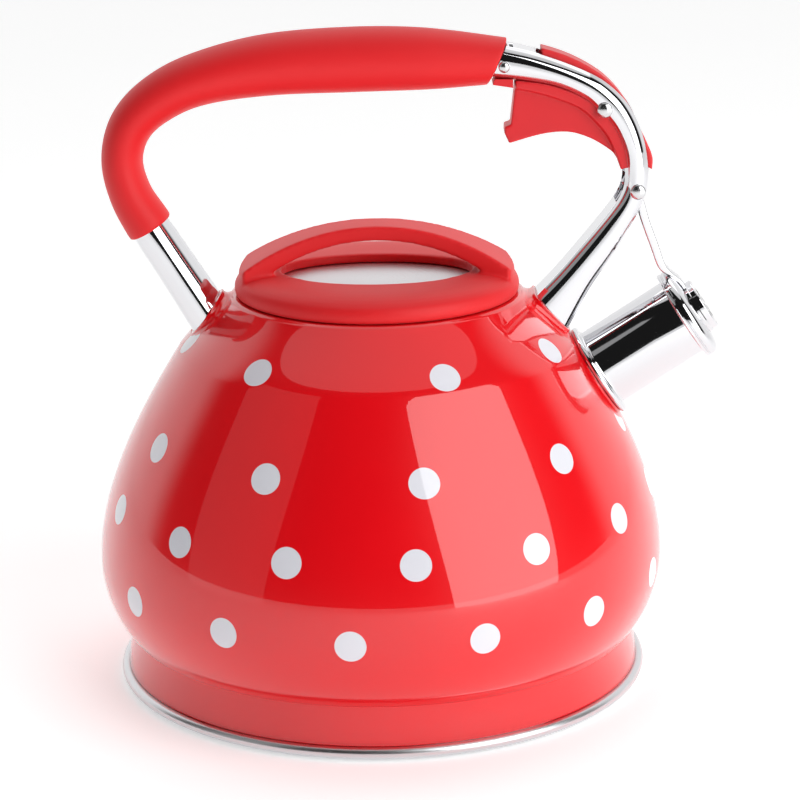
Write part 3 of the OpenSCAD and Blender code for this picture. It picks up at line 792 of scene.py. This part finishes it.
class KETTLE_OT_cap(bpy.types.Operator):
    """Build the spout cap: its dome, whistle, lever and hub"""

    bl_idname = "kettle.cap"
    bl_label = "Spout cap"

    def execute(self, context):
        seat = spout_frame()
        r, t, rim, face = CAP_R, CAP_WALL, CAP_RIM, CAP_FACE
        dome = curve((r - 0.05, rim + 2.9), (r - 0.1, rim + 4.9), (r - 3.6, face),
                     (r - 7.4, face), 14)
        under = curve((r - t, rim + 2.2), (r - t, rim + 4.0), (r - 4.2 - t, face - t),
                      (r - 7.4 - t, face - t), 10)
        profile = (arc((r - 0.42, rim + 0.42), 0.42, -150, 40, 9)
                   + [(r - 0.02, rim + 1.25), (r - 0.3, rim + 1.5), (r - 0.3, rim + 1.75),
                      (r - 0.02, rim + 2.0), (r - 0.02, rim + 2.45)] + dome
                   + [(r - 7.4, face), (WHISTLE_R - 2.8, face), (WHISTLE_R - 3.4, face - 0.4),
                      (WHISTLE_R - 3.4, face - t)] + list(reversed(under)) + [(r - t, rim + 0.5)])
        Shape().lathe(profile, seat, 160, loop=True).build(
            "cap_dome", "spout_cap", finish_of("polished"), "polished_steel", ["cap_shell"])

        foot = face + PAD_T
        top = foot + WHISTLE_H
        w = WHISTLE_R
        trim = Shape()
        trim.lathe([(w - 1.6, foot + 0.02), (w - 0.5, foot + 0.02), (w - 0.3, foot + 0.35),
                    (w - 0.9, foot + 0.6), (w - 0.9, foot + 1.3)]
                   + arc((w - 0.62, top - 0.62), 0.62, -60, 90, 8)
                   + [(w - 1.5, top), (w - 2.0, top - 0.35), (w - 2.6, top - 0.35)],
                   seat, 128)
        trim.build("whistle_trim", "spout_cap", finish_of("polished"), "polished_steel")
        finish_node("whistle_housing", "polished")

        lever = Shape()
        points = [CAP_PIVOT, (101, 186), (103.2, 178.4), (106.7, 168.8), (109.4, 161.4),
                  at_spout(rim + 5, 18.4), at_spout(face + 0.7, 13), at_spout(face + 0.7, 9)]
        line = spline(points, 10)
        half = spline([[h, h] for h in (1.6, 1.6, 1.6, 1.6, 1.5, 1, 0.7, 0.7)], 10)[:, 0]
        lever.rings(strip_rings(line, half, LEVER_HALF_W, 0.75), cap_start=True, cap_end=True)
        hub_end = LEVER_HALF_W
        hub = [(2.1, -hub_end), (3.5, -hub_end), (3.9, 0.4 - hub_end), (3.9, hub_end - 0.4),
               (3.5, hub_end), (2.1, hub_end)]
        lever.lathe(hub, cross_frame(CAP_PIVOT), 64, loop=True)
        cx, cz = CAP_PIVOT
        tail = spline([(cx, cz + 1), (cx - 0.2, cz + 4), (cx, cz + 7.6)], 6)
        lever.rings(strip_rings(tail, np.linspace(2.2, 0.8, len(tail)), LEVER_HALF_W, 0.6),
                    cap_start=True, cap_end=True)
        pad = ([(WHISTLE_R - 3.4, face + 0.02), (WHISTLE_R + 0.6, face + 0.02),
                (WHISTLE_R + 0.6, foot - 0.3), (WHISTLE_R + 0.3, foot), (WHISTLE_R - 3.4, foot)])
        lever.lathe(pad, seat, 96, loop=True)
        lever.build("cap_lever_polished", "spout_cap", finish_of("polished"), "polished_steel",
                    ["cap_lever"])
        for node in ("whistle_disc_outer", "whistle_disc_inner"):
            finish_node(node, "screw")
        finish_node("cap_seal", "rubber")
        finish_node("cap_spring", "spring")
        return {"FINISHED"}


class KETTLE_OT_handle(bpy.types.Operator):
    """Build the rear arm's polished tube and the soft grip on it"""

    bl_idname = "kettle.handle"
    bl_label = "Handle"

    def execute(self, context):
        end = np.array(HANDLE_LINE[-1]) + TUBE_STICK_OUT*tangents(HANDLE_LINE)[-1]
        line = spline(HANDLE_LINE + [tuple(end)], 6)
        sizes = spline(TUBE_SIZES, 6)
        way, side = tangents(line), normals(line)
        tube = [tube_ring(line[i], way[i], side[i], sizes[i], 64, -0.4 if i == 0 else 0.0)
                for i in range(len(line))]
        shape = Shape().rings(tube, cap_start=True, cap_end=True)
        shape.build("rear_arm", "kettle", finish_of("polished"), "polished_steel", ["handle_tube"],
                    sharp=50)

        n = 10
        line = spline(HANDLE_LINE, n)[GRIP_START*n:]
        sizes = spline(GRIP_SIZES, n)[GRIP_START*n:]
        way, side = tangents(line), normals(line)

        def ring(i, less=0.0, shift=0.0, slant=0.0):
            return tube_ring(line[i] + way[i]*shift, way[i], side[i], sizes[i] - less, 72, slant)

        last, slanting = len(line) - 1, 8
        rings = [ring(0, less, shift) for less, shift in
                 ((1.7, -0.3), (1.25, -0.45), (0.7, -0.35), (0.3, -0.05), (0.08, 0.4))]
        rings += [ring(i, slant=GRIP_SLANT*max(0.0, (i - last + slanting)/slanting))
                  for i in range(1, last)]
        rings += [ring(last, less, shift, GRIP_SLANT) for less, shift in
                  ((0.0, -0.5), (0.1, -0.15), (0.35, 0.0), (1.6, 0.0), (3.5, -0.6))]
        shape = Shape().rings(rings, cap_start=True, cap_end=True)
        shape.build("grip", "kettle", finish_of("soft_touch"), "soft_red", ["handle_grip"],
                    sharp=60)
        return {"FINISHED"}


class KETTLE_OT_front_arm(bpy.types.Operator):
    """Build the slotted front arm with its rounded walls, and the rivets across it"""

    bl_idname = "kettle.front_arm"
    bl_label = "Front arm"

    def execute(self, context):
        n = 10
        outer, inner = spline(ARM_OUTER, n), spline(ARM_INNER, n)
        w, t, r_in, r_out = ARM_HALF_W, ARM_WALL, ARM_ROUND_IN, ARM_ROUND_OUT

        def station(i, section, side=1):
            reach = outer[i] - inner[i]
            e = reach/np.linalg.norm(reach)
            return [[inner[i][0] + e[0]*a, side*y, inner[i][1] + e[1]*a] for a, y in section]

        def wall(i):
            h = float(np.linalg.norm(outer[i] - inner[i]))
            c_in, c_out = (r_in, w - r_in), (h - r_out, w - r_out)
            belly = [(r_in + (h - r_in - r_out)*q/8, w) for q in range(1, 8)]
            section = arc(c_in, r_in, 180, 90, 8)[:-1] + belly + arc(c_out, r_out, 90, 0, 10)[1:]
            section += [(h, SLOT_HALF_W), (h - t, SLOT_HALF_W)]
            section += arc(c_out, r_out - t, 0, 90, 6) + arc(c_in, r_in - t, 90, 180, 5)
            # A slight crown, so that the polished side mirrors both the floor and the surround
            return [(a, y - ARM_CROWN*(2*a/h - 1)**2*min(1, max(0, y - SLOT_HALF_W)/2))
                    for a, y in section]

        shape = Shape()
        stations = range(len(outer))
        for side in (1, -1):
            shape.rings([station(i, wall(i), side) for i in stations], cap_start=True, cap_end=True)

        def web(chosen, outside):
            rings = []
            for i in chosen:
                h = float(np.linalg.norm(outer[i] - inner[i]))
                high, half = (h, SLOT_HALF_W) if outside else (t, w - r_in)
                rings.append(station(i, [(high, -half), (high, half), (high - t, half),
                                         (high - t, -half)]))
            if len(rings) > 1:
                shape.rings(rings, cap_start=True, cap_end=True)

        web([i for i in stations if outer[i][0] < SLOT_START_X and outer[i][1] > SLOT_START_Z],
            True)
        web([i for i in stations if outer[i][1] < SLOT_END_Z], True)
        web([i for i in stations if inner[i][1] < BOX_START_Z], False)
        shape.build("front_arm_polished", "kettle", finish_of("polished"), "polished_steel",
                    ["front_arm"], sharp=40)

        for name, node, at, head, shank in (
                ("trigger_rivet", "trigger_pin", TRIGGER_PIVOT, 3.0, 2.0),
                ("cap_rivet", "cap_pin", CAP_PIVOT, 3.0, 2.0),
                ("tube_rivet", "grip_rivet", RIVET_AT, 2.2, 1.9)):
            rivet = Shape()
            for side in (1, -1):
                dome = [(head*math.cos(math.radians(a)), w + RIVET_DOME*math.sin(math.radians(a)))
                        for a in range(0, 90, 6)] + [(0.01, w + RIVET_DOME)]
                skirt = [(head*0.66, w - 2.2), (head*0.9, w - 1.2), (head*0.9, w - 0.1)]
                rivet.lathe(skirt + dome, cross_frame(at, side), 64)
            rivet.lathe([(0.01, -w), (shank, -w), (shank, w), (0.01, w)], cross_frame(at), 48)
            rivet.build(name, "kettle", finish_of("rivet"), "polished_steel", [node])
        finish_node("arm_plug", "moulded")
        return {"FINISHED"}


class KETTLE_OT_trigger(bpy.types.Operator):
    """Build the moulded trigger"""

    bl_idname = "kettle.trigger"
    bl_label = "Trigger"

    def execute(self, context):
        moulded("trigger", "trigger_moulded", "trigger", finish_of("moulded"),
                context.scene.kettle_form.trigger_voxel, 4)
        return {"FINISHED"}


class KETTLE_OT_lid(bpy.types.Operator):
    """Build the lid's soft cover, and finish its steel plate"""

    bl_idname = "kettle.lid"
    bl_label = "Lid"

    def execute(self, context):
        moulded("lid_cover", "lid_cover_moulded", "lid", finish_of("soft_touch"),
                context.scene.kettle_form.lid_voxel, 9)
        finish_node("lid_plate", "satin")
        finish_node("lid_gasket", "rubber")
        return {"FINISHED"}


class KETTLE_OT_fixings(bpy.types.Operator):
    """Finish the screws and seals inside"""

    bl_idname = "kettle.fixings"
    bl_label = "Fixings"

    def execute(self, context):
        finish_node("bracket_screws", "screw")
        finish_node("lid_screws", "screw")
        finish_node("screw_seals", "rubber")
        return {"FINISHED"}


class KETTLE_OT_stage(bpy.types.Operator):
    """Set up the floor, the studio's lights and the camera"""

    bl_idname = "kettle.stage"
    bl_label = "Stage"

    def execute(self, context):
        stage = context.scene.kettle_stage
        mesh = bpy.data.meshes.new("floor")
        s = FLOOR_HALF
        mesh.from_pydata([(-s, -s, 0), (s, -s, 0), (s, s, 0), (-s, s, 0)], [], [(0, 1, 2, 3)])
        floor = bpy.data.objects.new("floor", mesh)
        floor.location.z = -FLOOR_DROP
        mesh.materials.append(floor_finish(tuple(stage.floor)))
        context.scene.collection.objects.link(floor)

        def softbox(name, at, size, power):
            data = bpy.data.lights.new(name, "AREA")
            data.shape = "RECTANGLE"
            data.size, data.size_y = size
            data.energy = power
            lamp = bpy.data.objects.new(name, data)
            lamp.location = at
            aim = Vector((0, 0, 0.1)) - Vector(at)
            lamp.rotation_euler = aim.to_track_quat("-Z", "Y").to_euler()
            context.scene.collection.objects.link(lamp)

        softbox("left_softbox", (-1.05, -0.55, 0.55), (0.85, 1.45), stage.light*0.15)
        softbox("right_softbox", (0.95, -0.8, 0.6), (1.2, 1.5), stage.light*2.1)
        softbox("top_softbox", (0.0, 0.35, 1.5), (1.2, 0.9), stage.light*0.06)
        data = bpy.data.lights.new("even_light", "SUN")
        data.energy, data.angle = stage.even, math.radians(70)
        even = bpy.data.objects.new("even_light", data)
        even.rotation_euler = (math.radians(-12), 0, 0)
        context.scene.collection.objects.link(even)

        world = bpy.data.worlds.new("studio")
        world.use_nodes = True
        tree = world.node_tree
        nodes, links = tree.nodes, tree.links
        nodes.clear()
        direction = nodes.new("ShaderNodeTexCoord")
        split = nodes.new("ShaderNodeSeparateXYZ")
        links.new(direction.outputs["Generated"], split.inputs[0])
        ramp = nodes.new("ShaderNodeMapRange")
        ramp.interpolation_type = "SMOOTHSTEP"
        # Dark in front of the kettle, white behind it
        for name, value in (("From Min", 0.15), ("From Max", 0.42), ("To Min", 0.012),
                            ("To Max", 1.0)):
            ramp.inputs[name].default_value = value
        links.new(split.outputs["Y"], ramp.inputs["Value"])
        path = nodes.new("ShaderNodeLightPath")
        seen = nodes.new("ShaderNodeMath")
        seen.operation = "MAXIMUM"
        links.new(ramp.outputs[0], seen.inputs[0])
        links.new(path.outputs["Is Camera Ray"], seen.inputs[1])
        background = nodes.new("ShaderNodeBackground")
        links.new(seen.outputs[0], background.inputs["Color"])
        background.inputs["Strength"].default_value = stage.sky
        output = nodes.new("ShaderNodeOutputWorld")
        links.new(background.outputs[0], output.inputs[0])
        context.scene.world = world
        context.scene.view_settings.view_transform = "Standard"

        data = bpy.data.cameras.new("camera")
        data.lens, data.sensor_width = CAMERA_LENS, 36.0
        data.clip_start = 0.05
        camera = bpy.data.objects.new("camera", data)
        camera.matrix_world = (Matrix.Translation((CAMERA_X, -stage.distance, stage.height))
                               @ Matrix.Rotation(math.radians(90) - stage.pitch, 4, "X")
                               @ Matrix.Rotation(math.radians(CAMERA_ROLL), 4, "Z"))
        context.scene.collection.objects.link(camera)
        context.scene.camera = camera
        return {"FINISHED"}


PIECES = ("stage", "body", "collars", "base", "spout", "cap", "handle", "front_arm", "trigger",
          "lid", "fixings")


class KETTLE_PT_panel(bpy.types.Panel):
    """The kettle's settings and pieces"""

    bl_idname = "KETTLE_PT_panel"
    bl_label = "Kettle"
    bl_space_type = "VIEW_3D"
    bl_region_type = "UI"
    bl_category = "Kettle"

    def draw(self, context):
        for group in (getattr(context.scene, name) for name in GROUPS):
            box = self.layout.box()
            for name in group.__annotations__:
                box.prop(group, name)
        for piece in PIECES:
            self.layout.operator("kettle." + piece)


GROUPS = {"kettle_look": KettleLook, "kettle_form": KettleForm, "kettle_stage": KettleStage}
CLASSES = (*GROUPS.values(), KETTLE_OT_stage, KETTLE_OT_body, KETTLE_OT_collars, KETTLE_OT_base,
           KETTLE_OT_spout, KETTLE_OT_cap, KETTLE_OT_handle, KETTLE_OT_front_arm, KETTLE_OT_trigger,
           KETTLE_OT_lid, KETTLE_OT_fixings, KETTLE_PT_panel)


def register():
    """Registers the classes and hangs the settings on the scene."""
    for cls in CLASSES:
        bpy.utils.register_class(cls)
    for name, group in GROUPS.items():
        setattr(bpy.types.Scene, name, PointerProperty(type=group))


def unregister():
    """Undoes register."""
    for name in GROUPS:
        delattr(bpy.types.Scene, name)
    for cls in reversed(CLASSES):
        bpy.utils.unregister_class(cls)


def main():
    """Builds the whole kettle."""
    register()
    for piece in PIECES:
        getattr(bpy.ops.kettle, piece)()
    bpy.context.view_layer.update()


if __name__ == "__main__":
    main()
